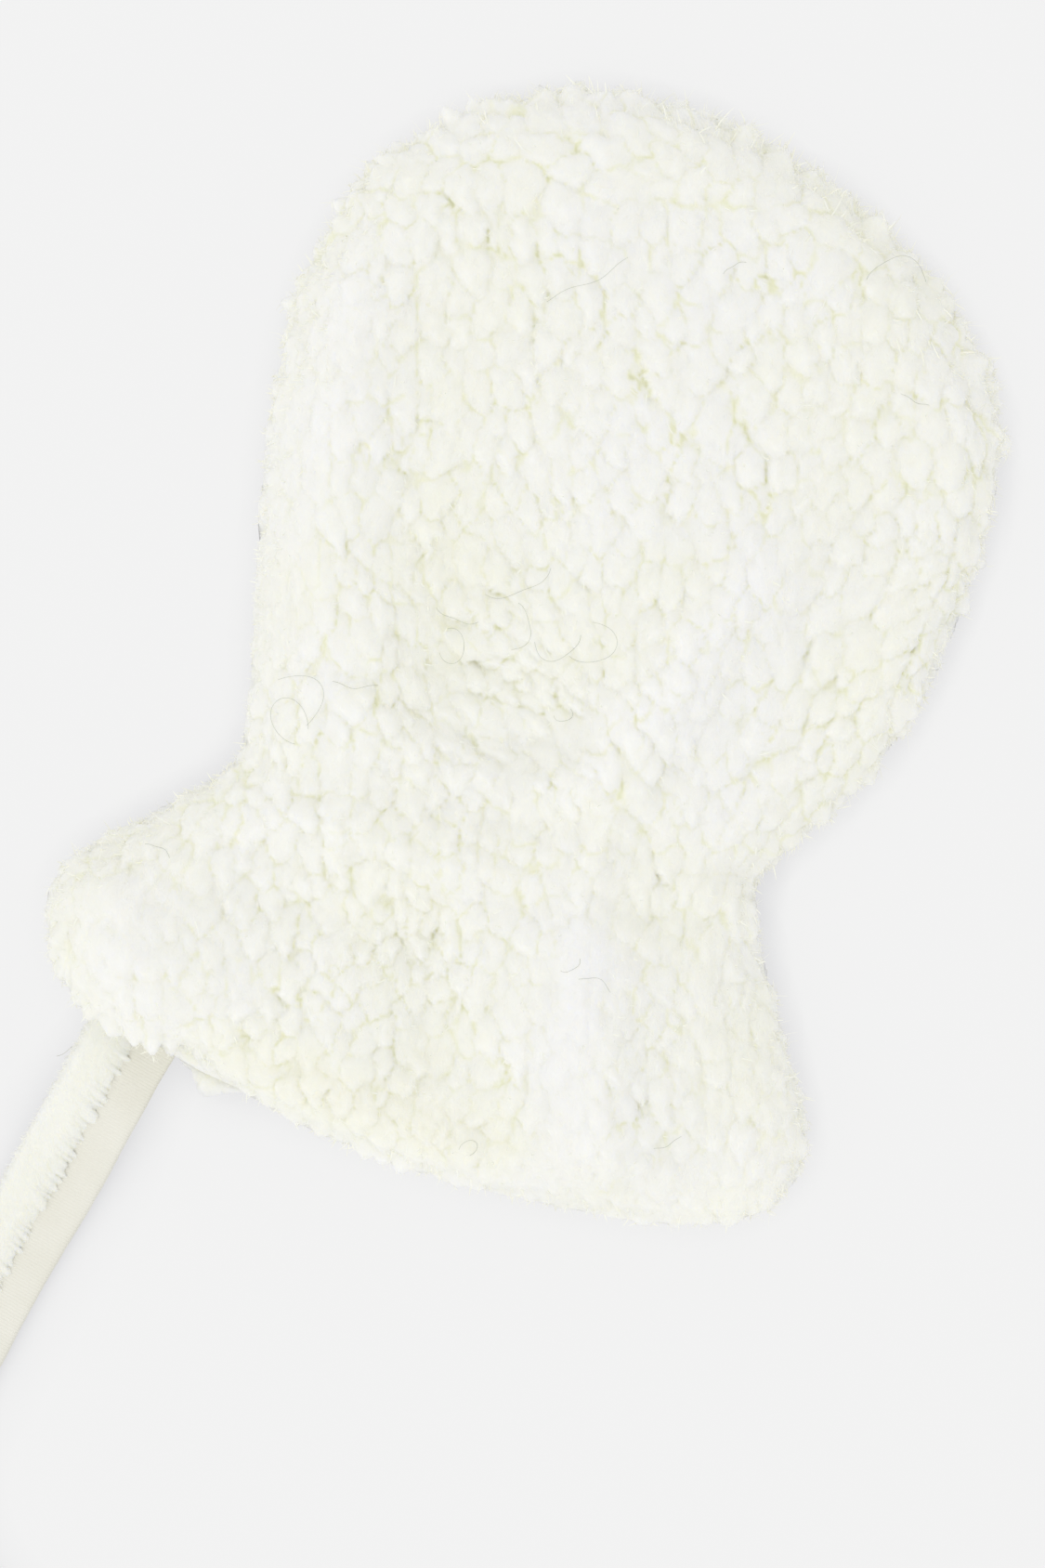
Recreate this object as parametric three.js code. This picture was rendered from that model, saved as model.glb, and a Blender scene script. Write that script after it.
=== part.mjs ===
// A pair of thumbless baby mittens in thick teddy cloth, joined by one folded strap and laid flat.
//
// Millimetres, +Z up. The surface that the pair lies on is z = 0, and the origin is on it, in the
// middle of the two mittens. The second mitten is the first one mirrored in the plane x = 0.
// Each mitten is a front panel lying on a back panel, and both have their hem turned in at the
// mouth of the cuff. A panel is worked out in the mitten's own frame: u runs to the right along
// the gathered wrist, v runs from the wrist to the tip, and the origin is the wrist's middle.
// The walls include the pile, so their outer faces are where the pile ends.

import * as THREE from 'three';
import { mergeVertices } from 'three/addons/utils/BufferGeometryUtils.js';

const WRIST_X = 69.3;
const WRIST_Y = -21.2;
const LEAN_DEGREES = 12.7;

const CLOTH_WALL = 5.5;
const SEAM_GAP = 0.3;
const RIM_HEIGHT = 0.8;

const HAND_SEAM_HEIGHT = 6.5;
const HEM_SEAM_HEIGHT = 8;
const HAND_RISE = 8;
const WRIST_RISE = 7.4;
const HEM_RISE = 7.5;
const FRONT_ROUNDING = 11;
const BACK_ROUNDING = 6.5;
const BACK_DIP = 0.9;

// How far along v the heights pass from one part of the mitten to the next.
const SEAM_SLOPE = { from: -30, to: -8 };
const WRIST_TO_HAND = { from: 2, to: 26 };
const HEM_TO_WRIST = { from: -26, to: -4 };

const HEM_TURN_DEPTH = 18;
const HEM_TURN_CLEARANCE = 5;
const HEM_TURN_WALL = 2.8;
const HEM_TURN_SIDE_INSET = 9;
const HEM_TURN_SIDE_CLEARANCE = 3;
const HEM_TURN_SETBACK = 1;
const HEM_TURN_FADE = 4;

const FRONT_COLUMNS = 30;
const FRONT_ROWS = 30;
const BACK_COLUMNS = 18;
const BACK_ROWS = 20;
const HEM_COLUMNS = 14;
const HEM_ROWS = 3;
const EDGE_CROWDING = 0.75;
const TIP_BOW = 1.1;
const TIP_BOW_FROM = 0.8;
const EDGE_SAMPLES = 48;

// The mitten's sections, from the mouth of the cuff to the tip: where the two side edges are.
const sections = [
  { leftU: -54.4, leftV: -21.5, rightU: 48.4, rightV: -35.0 },
  { leftU: -52.4, leftV: -16.6, rightU: 46.7, rightV: -28.0 },
  { leftU: -46.0, leftV: -11.3, rightU: 42.4, rightV: -20.0 },
  { leftU: -39.8, leftV: -5.6, rightU: 38.0, rightV: -11.0 },
  { leftU: -34.2, leftV: 0.4, rightU: 34.0, rightV: -0.6 },
  { leftU: -34.6, leftV: 7.5, rightU: 39.6, rightV: 7.5 },
  { leftU: -35.9, leftV: 17.0, rightU: 45.8, rightV: 17.0 },
  { leftU: -37.7, leftV: 27.0, rightU: 49.9, rightV: 27.0 },
  { leftU: -39.3, leftV: 38.0, rightU: 52.3, rightV: 38.0 },
  { leftU: -40.0, leftV: 49.0, rightU: 53.1, rightV: 49.0 },
  { leftU: -39.8, leftV: 60.0, rightU: 53.2, rightV: 60.0 },
  { leftU: -37.9, leftV: 69.0, rightU: 49.6, rightV: 69.0 },
  { leftU: -34.6, leftV: 76.5, rightU: 43.2, rightV: 76.5 },
  { leftU: -29.6, leftV: 83.0, rightU: 35.4, rightV: 83.0 },
  { leftU: -22.6, leftV: 89.0, rightU: 25.0, rightV: 89.0 },
  { leftU: -11.4, leftV: 93.7, rightU: 9.8, rightV: 93.7 },
];
const WRIST_SECTION = 4;

// The mouth of the cuff, from its left corner to its right one. The back's hem reaches a little
// past the front's beside the strap.
const hemPoints = [
  { u: -54.4, frontV: -21.5, backV: -21.5 },
  { u: -53.2, frontV: -27.0, backV: -27.0 },
  { u: -49.7, frontV: -32.2, backV: -32.2 },
  { u: -43.8, frontV: -36.4, backV: -36.8 },
  { u: -36.0, frontV: -38.0, backV: -39.4 },
  { u: -28.3, frontV: -39.3, backV: -41.8 },
  { u: -18.0, frontV: -43.0, backV: -43.2 },
  { u: -5.0, frontV: -45.4, backV: -45.2 },
  { u: 12.0, frontV: -46.5, backV: -46.2 },
  { u: 27.0, frontV: -46.0, backV: -45.8 },
  { u: 39.6, frontV: -43.8, backV: -43.6 },
  { u: 46.0, frontV: -39.6, backV: -39.4 },
  { u: 48.4, frontV: -35.0, backV: -35.0 },
];

// The front's folds, each along a line from one place to another: ridges stand up by their
// height, troughs have a height below zero.
const folds = [
  { name: 'left border ridge', fromU: -33, fromV: 62, toU: -27, toV: 14, width: 6, height: 1.5 },
  { name: 'palm hollow', fromU: -6, fromV: 30, toU: -2, toV: 15, width: 12, height: -3.2 },
  { name: 'hollow floor', fromU: -6, fromV: 17, toU: 6, toV: 11, width: 6, height: -1.4 },
  { name: 'left of the hollow', fromU: -22, fromV: 24, toU: -19, toV: 12, width: 4.5, height: 1.6 },
  { name: 'slanting ridge', fromU: 11, fromV: 6, toU: 23, toV: 36, width: 6.5, height: 2.4 },
  { name: 'thumb side slope', fromU: 40, fromV: 46, toU: 36, toV: 14, width: 8, height: -1.2 },
  { name: 'wrist line', fromU: -32, fromV: 1, toU: 32, toV: 0, width: 3.2, height: -1.3 },
  { name: 'wrist bulge', fromU: -24, fromV: -5, toU: 26, toV: -4, width: 3.4, height: 0.8 },
  { name: 'lower gather line', fromU: 2, fromV: -10, toU: 28, toV: -7, width: 2.8, height: -1.2 },
  { name: 'cuff ridge', fromU: 12, fromV: -12, toU: 20, toV: -38, width: 5.5, height: 1.9 },
  { name: 'cuff hollow', fromU: -6, fromV: -19, toU: -3, toV: -29, width: 6.5, height: -2.4 },
  { name: 'left cuff hollow', fromU: -28, fromV: -14, toU: -20, toV: -18, width: 6, height: -1.6 },
  { name: 'puffed corner', fromU: -46, fromV: -22, toU: -41, toV: -29, width: 7, height: 1.4 },
  { name: 'right cuff slope', fromU: 36, fromV: -14, toU: 40, toV: -34, width: 8, height: -1.4 },
];

// The gathers that the elastic draws up at the wrist.
const gathers = [
  { u: -27, width: 2.6, height: 0.9, up: 9, down: 6, fan: -0.1 },
  { u: -19, width: 3.0, height: 1.2, up: 12, down: 8, fan: -0.15 },
  { u: -11, width: 2.6, height: 0.7, up: 8, down: 9, fan: -0.1 },
  { u: -3, width: 2.8, height: 1.0, up: 7, down: 7, fan: 0 },
  { u: 5, width: 2.6, height: 0.8, up: 8, down: 9, fan: 0.1 },
  { u: 13, width: 2.8, height: 1.2, up: 14, down: 8, fan: 0.3 },
  { u: 20, width: 2.5, height: 1.0, up: 15, down: 7, fan: 0.45 },
  { u: 27, width: 2.4, height: 0.9, up: 12, down: 6, fan: 0.6 },
];

// The strap's section: the cloth's lower layer, and over its left part the folded flap.
const STRAP_WIDTH = 11.7;
const STRAP_LAYER = 1.7;
const STRAP_FLAP_WIDTH = 6.2;
const STRAP_STEPS = 60;
const STRAP_MIDDLE_HEIGHT = STRAP_LAYER;

// The strap's route from the first mitten's cuff to the second one's, along its middle.
const strapRoute = [
  { x: 21.7, y: -49.9, z: 6.6 },
  { x: 17.4, y: -57.5, z: 5.0 },
  { x: 12.4, y: -66.3, z: 2.6 },
  { x: 6.8, y: -76.3, z: 1.8 },
  { x: 0.6, y: -87.3, z: 1.8 },
  { x: -5.2, y: -98.1, z: 1.8 },
  { x: -7.8, y: -109.5, z: 1.8 },
  { x: -3.8, y: -121.9, z: 1.8 },
  { x: 5.4, y: -131.5, z: 1.8 },
  { x: 18.9, y: -135.0, z: 1.8 },
  { x: 42.0, y: -134.8, z: 1.8 },
  { x: 64.0, y: -135.7, z: 1.8 },
  { x: 86.0, y: -134.9, z: 1.8 },
  { x: 104.4, y: -134.9, z: 1.8 },
  { x: 121.2, y: -141.7, z: 1.8 },
  { x: 128.2, y: -158.7, z: 1.8 },
  { x: 121.2, y: -175.7, z: 1.8 },
  { x: 104.4, y: -182.7, z: 1.8 },
  { x: 84.0, y: -182.1, z: 1.8 },
  { x: 56.0, y: -180.9, z: 1.8 },
  { x: 28.0, y: -181.9, z: 1.8 },
  { x: 0.0, y: -181.1, z: 1.8 },
  { x: -28.0, y: -182.3, z: 1.8 },
  { x: -53.8, y: -182.7, z: 1.8 },
  { x: -70.8, y: -175.7, z: 1.8 },
  { x: -77.8, y: -158.7, z: 1.8 },
  { x: -70.8, y: -141.9, z: 1.8 },
  { x: -54.6, y: -134.3, z: 1.8 },
  { x: -37.2, y: -128.3, z: 1.8 },
  { x: -28.2, y: -117.1, z: 1.8 },
  { x: -23.6, y: -103.5, z: 1.8 },
  { x: -19.4, y: -89.9, z: 1.8 },
  { x: -16.0, y: -77.5, z: 1.8 },
  { x: -14.9, y: -67.1, z: 2.4 },
  { x: -17.2, y: -57.9, z: 4.8 },
  { x: -21.4, y: -50.5, z: 6.6 },
];

const smoothStep = (from, to, x) => THREE.MathUtils.smoothstep(x, from, to);
const mix = THREE.MathUtils.lerp;

// Steps from 0 to 1 that crowd at both ends, so that rounded edges get their points.
function crowded(index, count) {
  const even = index / count;
  const cosine = (1 - Math.cos(Math.PI * even)) / 2;
  return mix(even, cosine, EDGE_CROWDING);
}

function curveThrough(points) {
  return new THREE.CatmullRomCurve3(points.map(([u, v]) => new THREE.Vector3(u, v, 0)));
}

const leftEdge = curveThrough(sections.map((row) => [row.leftU, row.leftV]));
const rightEdge = curveThrough(sections.map((row) => [row.rightU, row.rightV]));
const frontHemEdge = curveThrough(hemPoints.map((row) => [row.u, row.frontV]));
const backHemEdge = curveThrough(hemPoints.map((row) => [row.u, row.backV]));
const WRIST_AT = WRIST_SECTION / (sections.length - 1);

// The place at a share across (0 left, 1 right) and a share along (0 mouth, 1 tip).
function placeOn(hemEdge, across, along) {
  const left = leftEdge.getPoint(along);
  const right = rightEdge.getPoint(along);
  const place = left.lerp(right, across);
  const corner = leftEdge.getPoint(0).lerp(rightEdge.getPoint(0), across);
  const hemShare = Math.max(0, 1 - along / WRIST_AT);
  place.addScaledVector(hemEdge.getPointAt(across).sub(corner), hemShare);
  const tipShare = smoothStep(TIP_BOW_FROM, 1, along);
  place.y += TIP_BOW * tipShare * 4 * across * (1 - across);
  return place;
}

function sampled(placeAt) {
  return Array.from({ length: EDGE_SAMPLES + 1 }, (_, i) => placeAt(i / EDGE_SAMPLES));
}

function edgesOf(hemEdge) {
  return {
    hem: sampled((share) => placeOn(hemEdge, share, 0)),
    left: sampled((share) => placeOn(hemEdge, 0, share)),
    right: sampled((share) => placeOn(hemEdge, 1, share)),
    tip: sampled((share) => placeOn(hemEdge, share, 1)),
  };
}

const frontEdges = edgesOf(frontHemEdge);
const backEdges = edgesOf(backHemEdge);

function distanceToLine(place, from, to) {
  const line = new THREE.Line3(from, to);
  return line.closestPointToPoint(place, true, new THREE.Vector3()).distanceTo(place);
}

function distanceToEdge(place, edge) {
  let nearest = Infinity;
  for (let i = 1; i < edge.length; i += 1) {
    nearest = Math.min(nearest, distanceToLine(place, edge[i - 1], edge[i]));
  }
  return nearest;
}

function distanceToSides(place, edges) {
  return Math.min(distanceToEdge(place, edges.left), distanceToEdge(place, edges.right));
}

function distanceToRim(place, edges) {
  const ends = Math.min(distanceToEdge(place, edges.hem), distanceToEdge(place, edges.tip));
  return Math.min(ends, distanceToSides(place, edges));
}

// A quarter of an ellipse, from 0 at the edge to 1 at the given distance from it.
function rounded(distance, reach) {
  const left = 1 - Math.min(distance / reach, 1);
  return Math.sqrt(1 - left * left);
}

function foldHeight(place) {
  let height = 0;
  for (const fold of folds) {
    const from = new THREE.Vector3(fold.fromU, fold.fromV, 0);
    const to = new THREE.Vector3(fold.toU, fold.toV, 0);
    const away = distanceToLine(place, from, to) / fold.width;
    height += fold.height * Math.exp(-away * away);
  }
  return height;
}

function gatherHeight(place) {
  let height = 0;
  for (const gather of gathers) {
    const reach = place.y > 0 ? gather.up : gather.down;
    const middle = gather.u + gather.fan * Math.max(place.y, 0);
    const aside = (place.x - middle) / gather.width;
    const along = place.y / reach;
    height += gather.height * Math.exp(-aside * aside - along * along);
  }
  return height;
}

// The height at which the front and the back meet, higher at the mouth with its turned hems.
function seamHeight(place) {
  return mix(HEM_SEAM_HEIGHT, HAND_SEAM_HEIGHT, smoothStep(SEAM_SLOPE.from, SEAM_SLOPE.to, place.y));
}

// How far a panel makes room for its turned hem, from 0 to the hem's wall and a seam gap.
function hemRoom(place, edges) {
  const past = distanceToEdge(place, edges.hem) - HEM_TURN_DEPTH - HEM_TURN_CLEARANCE;
  const inward = 1 - smoothStep(0, HEM_TURN_FADE, past);
  const fromSide = distanceToSides(place, edges);
  const aside = smoothStep(HEM_TURN_SIDE_INSET - HEM_TURN_FADE, HEM_TURN_SIDE_INSET - 1, fromSide);
  return (HEM_TURN_WALL + SEAM_GAP) * inward * aside;
}

function frontOuter(place) {
  const toHand = smoothStep(WRIST_TO_HAND.from, WRIST_TO_HAND.to, place.y);
  const toHem = 1 - smoothStep(HEM_TO_WRIST.from, HEM_TO_WRIST.to, place.y);
  const rise = mix(mix(WRIST_RISE, HAND_RISE, toHand), HEM_RISE, toHem);
  const crown = rise + foldHeight(place) + gatherHeight(place);
  const share = rounded(distanceToRim(place, frontEdges), FRONT_ROUNDING);
  const foot = seamHeight(place) + SEAM_GAP / 2 + hemRoom(place, frontEdges) * (1 - share);
  return foot + RIM_HEIGHT + crown * share;
}

function frontInner(place) {
  const lowest = seamHeight(place) + SEAM_GAP / 2 + hemRoom(place, frontEdges);
  return Math.max(lowest, frontOuter(place) - CLOTH_WALL);
}

function backInner(place) {
  const dip = BACK_DIP * rounded(distanceToRim(place, backEdges), FRONT_ROUNDING);
  return seamHeight(place) - SEAM_GAP / 2 - Math.max(dip, hemRoom(place, backEdges));
}

function backOuter(place) {
  const share = rounded(distanceToRim(place, backEdges), BACK_ROUNDING);
  const rim = backInner(place) - RIM_HEIGHT;
  return rim * (1 - share);
}

// A closed body between an upper and a lower face over the same grid of places.
function bodyBetween({ columns, rows, placeAt, upper, lower, side }) {
  const positions = [];
  const faces = [];
  const count = (columns + 1) * (rows + 1);
  for (const heightAt of [upper, lower]) {
    for (let row = 0; row <= rows; row += 1) {
      for (let column = 0; column <= columns; column += 1) {
        const place = placeAt(column / columns, row / rows);
        positions.push(...worldPoint(place, heightAt(place), side));
      }
    }
  }
  const at = (column, row, layer) => layer * count + row * (columns + 1) + column;
  const quad = (a, b, c, d) => {
    faces.push(...(side > 0 ? [a, b, c, a, c, d] : [a, c, b, a, d, c]));
  };
  for (let row = 0; row < rows; row += 1) {
    for (let column = 0; column < columns; column += 1) {
      const here = (layer) => [
        at(column, row, layer),
        at(column + 1, row, layer),
        at(column + 1, row + 1, layer),
        at(column, row + 1, layer),
      ];
      quad(...here(0));
      quad(...here(1).reverse());
    }
  }
  for (let column = 0; column < columns; column += 1) {
    quad(at(column, 0, 1), at(column + 1, 0, 1), at(column + 1, 0, 0), at(column, 0, 0));
    quad(at(column, rows, 0), at(column + 1, rows, 0), at(column + 1, rows, 1), at(column, rows, 1));
  }
  for (let row = 0; row < rows; row += 1) {
    quad(at(0, row, 0), at(0, row + 1, 0), at(0, row + 1, 1), at(0, row, 1));
    quad(at(columns, row, 1), at(columns, row + 1, 1), at(columns, row + 1, 0), at(columns, row, 0));
  }
  const geometry = new THREE.BufferGeometry();
  geometry.setAttribute('position', new THREE.Float32BufferAttribute(positions, 3));
  geometry.setIndex(faces);
  return geometry;
}

// From the mitten's own frame to the pair's. Side 1 is the first mitten, -1 the mirrored one.
function worldPoint(place, height, side) {
  const lean = THREE.MathUtils.degToRad(LEAN_DEGREES);
  const x = WRIST_X + place.x * Math.cos(lean) + place.y * Math.sin(lean);
  const y = WRIST_Y - place.x * Math.sin(lean) + place.y * Math.cos(lean);
  return [side * x, y, height];
}

function panelGrid(hemEdge, columns, rows) {
  return (across, along) => placeOn(
    hemEdge,
    crowded(Math.round(across * columns), columns),
    crowded(Math.round(along * rows), rows),
  );
}

function frontPanel(side) {
  return bodyBetween({
    columns: FRONT_COLUMNS,
    rows: FRONT_ROWS,
    placeAt: panelGrid(frontHemEdge, FRONT_COLUMNS, FRONT_ROWS),
    upper: frontOuter,
    lower: frontInner,
    side,
  });
}

function backPanel(side) {
  return bodyBetween({
    columns: BACK_COLUMNS,
    rows: BACK_ROWS,
    placeAt: panelGrid(backHemEdge, BACK_COLUMNS, BACK_ROWS),
    upper: backInner,
    lower: backOuter,
    side,
  });
}

// A turned hem's grid: along the mouth between the side insets, and up to its depth.
function hemGrid(hemEdge) {
  const width = hemPoints.at(-1).u - hemPoints[0].u;
  const inset = (HEM_TURN_SIDE_INSET + HEM_TURN_SIDE_CLEARANCE) / width;
  return (across, inward) => {
    const share = mix(inset, 1 - inset, across);
    const mouth = placeOn(hemEdge, share, 0);
    const wrist = placeOn(hemEdge, share, WRIST_AT);
    const depth = mix(HEM_TURN_SETBACK, HEM_TURN_DEPTH - HEM_TURN_SETBACK, inward);
    return mouth.clone().addScaledVector(wrist.sub(mouth).normalize(), depth);
  };
}

function frontHem(side) {
  return bodyBetween({
    columns: HEM_COLUMNS,
    rows: HEM_ROWS,
    placeAt: hemGrid(frontHemEdge),
    upper: (place) => seamHeight(place) + SEAM_GAP / 2 + HEM_TURN_WALL,
    lower: (place) => seamHeight(place) + SEAM_GAP / 2,
    side,
  });
}

function backHem(side) {
  return bodyBetween({
    columns: HEM_COLUMNS,
    rows: HEM_ROWS,
    placeAt: hemGrid(backHemEdge),
    upper: (place) => seamHeight(place) - SEAM_GAP / 2,
    lower: (place) => seamHeight(place) - SEAM_GAP / 2 - HEM_TURN_WALL,
    side,
  });
}

// The flap lies on the strap's outer side on its way down from the first mitten.
function strapSection() {
  const half = STRAP_WIDTH / 2;
  const flapEdge = STRAP_FLAP_WIDTH - half;
  const corner = 0.6;
  const outline = [
    { aside: -half, height: corner },
    { aside: -half + corner, height: 0 },
    { aside: half - corner, height: 0 },
    { aside: half, height: corner },
    { aside: half, height: STRAP_LAYER - corner },
    { aside: half - corner, height: STRAP_LAYER },
    { aside: flapEdge + corner, height: STRAP_LAYER },
    { aside: flapEdge, height: 2 * STRAP_LAYER - corner / 2 },
    { aside: flapEdge - 2 * corner, height: 2 * STRAP_LAYER },
    { aside: -half + 2 * corner, height: 2 * STRAP_LAYER },
    { aside: -half, height: 2 * STRAP_LAYER - 2 * corner },
  ];
  const points = outline.map(({ aside, height }) => (
    new THREE.Vector2(STRAP_MIDDLE_HEIGHT - height, -aside)
  ));
  return new THREE.Shape(points);
}

function strap() {
  const points = strapRoute.map(({ x, y, z }) => new THREE.Vector3(x, y, z));
  const geometry = new THREE.ExtrudeGeometry(strapSection(), {
    steps: STRAP_STEPS,
    bevelEnabled: false,
    extrudePath: new THREE.CatmullRomCurve3(points),
  });
  geometry.deleteAttribute('normal');
  geometry.deleteAttribute('uv');
  return mergeVertices(geometry, 1e-4);
}

function clothFinish(color) {
  return new THREE.MeshStandardMaterial({ color, roughness: 0.95, metalness: 0 });
}

const pieces = new THREE.Group();

function add(name, geometry, color) {
  geometry.computeVertexNormals();
  const mesh = new THREE.Mesh(geometry, clothFinish(color));
  mesh.name = name;
  pieces.add(mesh);
}

for (const [name, side] of [['first', 1], ['second', -1]]) {
  add(`${name}_front`, frontPanel(side), 0xf2f2ea);
  add(`${name}_back`, backPanel(side), 0xf0f0e6);
  add(`${name}_front_hem`, frontHem(side), 0xeeeee2);
  add(`${name}_back_hem`, backHem(side), 0xeeeee2);
}
add('strap', strap(), 0xe6e6dc);

export default pieces;
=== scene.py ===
import math

import bpy
import numpy as np
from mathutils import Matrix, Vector, kdtree, noise


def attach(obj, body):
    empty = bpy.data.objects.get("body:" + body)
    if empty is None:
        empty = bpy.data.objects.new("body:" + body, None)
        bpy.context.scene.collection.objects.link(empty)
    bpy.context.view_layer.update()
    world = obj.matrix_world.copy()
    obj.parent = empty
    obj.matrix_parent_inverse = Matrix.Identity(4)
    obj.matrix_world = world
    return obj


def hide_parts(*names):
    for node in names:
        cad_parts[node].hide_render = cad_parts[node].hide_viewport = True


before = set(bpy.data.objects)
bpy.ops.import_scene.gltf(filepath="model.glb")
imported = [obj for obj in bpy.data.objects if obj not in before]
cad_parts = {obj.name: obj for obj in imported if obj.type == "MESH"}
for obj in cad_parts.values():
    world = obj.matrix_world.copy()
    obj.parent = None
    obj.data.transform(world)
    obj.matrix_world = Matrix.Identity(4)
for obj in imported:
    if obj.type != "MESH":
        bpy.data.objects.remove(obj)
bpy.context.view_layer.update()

# A pair of thumbless baby mittens in thick teddy cloth, laid flat and joined by a folded strap.
# Lengths that end in _MM are millimetres, and all others are metres.

MM = 0.001
UP = np.array([0.0, 0.0, 1.0])

# Blender seeds its noise from the clock unless a seed is set.
noise.seed_set(5)

# The photograph's frame: this many of its pixels are 1 mm at the height of the mitten's outline.
PHOTO_WIDTH, PHOTO_HEIGHT = 1125, 1688
PIXELS_PER_MM = 8.3
ORIGIN_PIXEL_X, ORIGIN_PIXEL_Y = -40.0, 707.2
OUTLINE_HEIGHT_MM = 6.5
LENS_MM = 100.0
SENSOR_MM = 36.0

# The first mitten's own frame: u to the right along the wrist, v from the wrist to the tip.
WRIST_MM = np.array([69.3, -21.2])
LEAN = math.radians(12.7)

# The strap's route along its middle, as the part's source has it.
STRAP_ROUTE_MM = [
    (21.7, -49.9, 6.6),
    (17.4, -57.5, 5.0),
    (12.4, -66.3, 2.6),
    (6.8, -76.3, 1.8),
    (0.6, -87.3, 1.8),
    (-5.2, -98.1, 1.8),
    (-7.8, -109.5, 1.8),
    (-3.8, -121.9, 1.8),
    (5.4, -131.5, 1.8),
    (18.9, -135.0, 1.8),
    (42.0, -134.8, 1.8),
    (64.0, -135.7, 1.8),
    (86.0, -134.9, 1.8),
    (104.4, -134.9, 1.8),
    (121.2, -141.7, 1.8),
    (128.2, -158.7, 1.8),
    (121.2, -175.7, 1.8),
    (104.4, -182.7, 1.8),
    (84.0, -182.1, 1.8),
    (56.0, -180.9, 1.8),
    (28.0, -181.9, 1.8),
    (0.0, -181.1, 1.8),
    (-28.0, -182.3, 1.8),
    (-53.8, -182.7, 1.8),
    (-70.8, -175.7, 1.8),
    (-77.8, -158.7, 1.8),
    (-70.8, -141.9, 1.8),
    (-54.6, -134.3, 1.8),
    (-37.2, -128.3, 1.8),
    (-28.2, -117.1, 1.8),
    (-23.6, -103.5, 1.8),
    (-19.4, -89.9, 1.8),
    (-16.0, -77.5, 1.8),
    (-14.9, -67.1, 2.4),
    (-17.2, -57.9, 4.8),
    (-21.4, -50.5, 6.6),
]
STRAP_WIDTH_MM = 11.7
STRAP_LAYER_MM = 1.65
STRAP_FLAP_EDGE_MM = -0.15
STRAP_FINE_STEP_MM, STRAP_FINE_LENGTH_MM = 0.2, 50.0
STRAP_STEP_MM = 0.5
STRAP_INSIDE_MM = 4.0
STRAP_SHADE = 0.85


# Selecting and finishing

def deselect_all():
    bpy.ops.object.select_all(action="DESELECT")


def make_active(obj):
    deselect_all()
    obj.select_set(True)
    bpy.context.view_layer.objects.active = obj


def apply_modifier(obj, kind, **settings):
    make_active(obj)
    modifier = obj.modifiers.new(kind.title(), kind)
    for name, value in settings.items():
        setattr(modifier, name, value)
    bpy.ops.object.modifier_apply(modifier=modifier.name)


def mesh_object(name, points_mm, faces):
    mesh = bpy.data.meshes.new(name)
    mesh.from_pydata((np.asarray(points_mm) * MM).tolist(), [], faces)
    mesh.update()
    obj = bpy.data.objects.new(name, mesh)
    bpy.context.scene.collection.objects.link(obj)
    mesh.polygons.foreach_set("use_smooth", np.ones(len(mesh.polygons), bool))
    return obj


def finish_piece(obj, material, body="root"):
    obj.data.materials.clear()
    obj.data.materials.append(material)
    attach(obj, body)


def points_of(obj):
    points = np.zeros(len(obj.data.vertices) * 3, np.float32)
    obj.data.vertices.foreach_get("co", points)
    return points.reshape(-1, 3).astype(float) / MM


def normals_of(obj):
    normals = np.zeros(len(obj.data.vertices) * 3, np.float32)
    obj.data.vertex_normals.foreach_get("vector", normals)
    return normals.reshape(-1, 3).astype(float)


def move_points(obj, points_mm):
    obj.data.vertices.foreach_set("co", (points_mm * MM).astype(np.float32).ravel())
    obj.data.update()


def keep_values(obj, name, values):
    attribute = obj.data.attributes.new(name, "FLOAT", "POINT")
    attribute.data.foreach_set("value", np.asarray(values, np.float32))


def unit(vectors):
    return vectors / np.maximum(np.linalg.norm(vectors, axis=-1, keepdims=True), 1e-9)


def smooth_step(low, high, x):
    t = np.clip((x - low) / (high - low), 0.0, 1.0)
    return t * t * (3 - 2 * t)


def noise_at(points_mm, size_mm, offset):
    return np.array([noise.noise_vector(Vector(p)) for p in points_mm / size_mm + offset])


# Camera

def photo_place(pixel_x, pixel_y):
    x = (pixel_x - ORIGIN_PIXEL_X) / PIXELS_PER_MM
    y = (ORIGIN_PIXEL_Y - pixel_y) / PIXELS_PER_MM
    return np.array([x, y])


def add_camera():
    middle = photo_place(PHOTO_WIDTH / 2, PHOTO_HEIGHT / 2)
    seen_height_mm = PHOTO_HEIGHT / PIXELS_PER_MM
    distance_mm = seen_height_mm * LENS_MM / SENSOR_MM
    place = (middle[0] * MM, middle[1] * MM, (OUTLINE_HEIGHT_MM + distance_mm) * MM)
    bpy.ops.object.camera_add(location=place, rotation=(0, 0, 0))
    camera = bpy.context.object
    camera.data.lens = LENS_MM
    camera.data.sensor_width = SENSOR_MM
    camera.data.clip_start = 0.01
    bpy.context.scene.camera = camera


add_camera()


# Shared effects of the finishes

def new_group(name, inputs, outputs):
    group = bpy.data.node_groups.new(name, "ShaderNodeTree")
    for label, kind, value in inputs:
        socket = group.interface.new_socket(label, in_out="INPUT", socket_type=kind)
        socket.default_value = value
    for label, kind in outputs:
        group.interface.new_socket(label, in_out="OUTPUT", socket_type=kind)
    entry = group.nodes.new("NodeGroupInput")
    leave = group.nodes.new("NodeGroupOutput")
    return group, entry, leave


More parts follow.
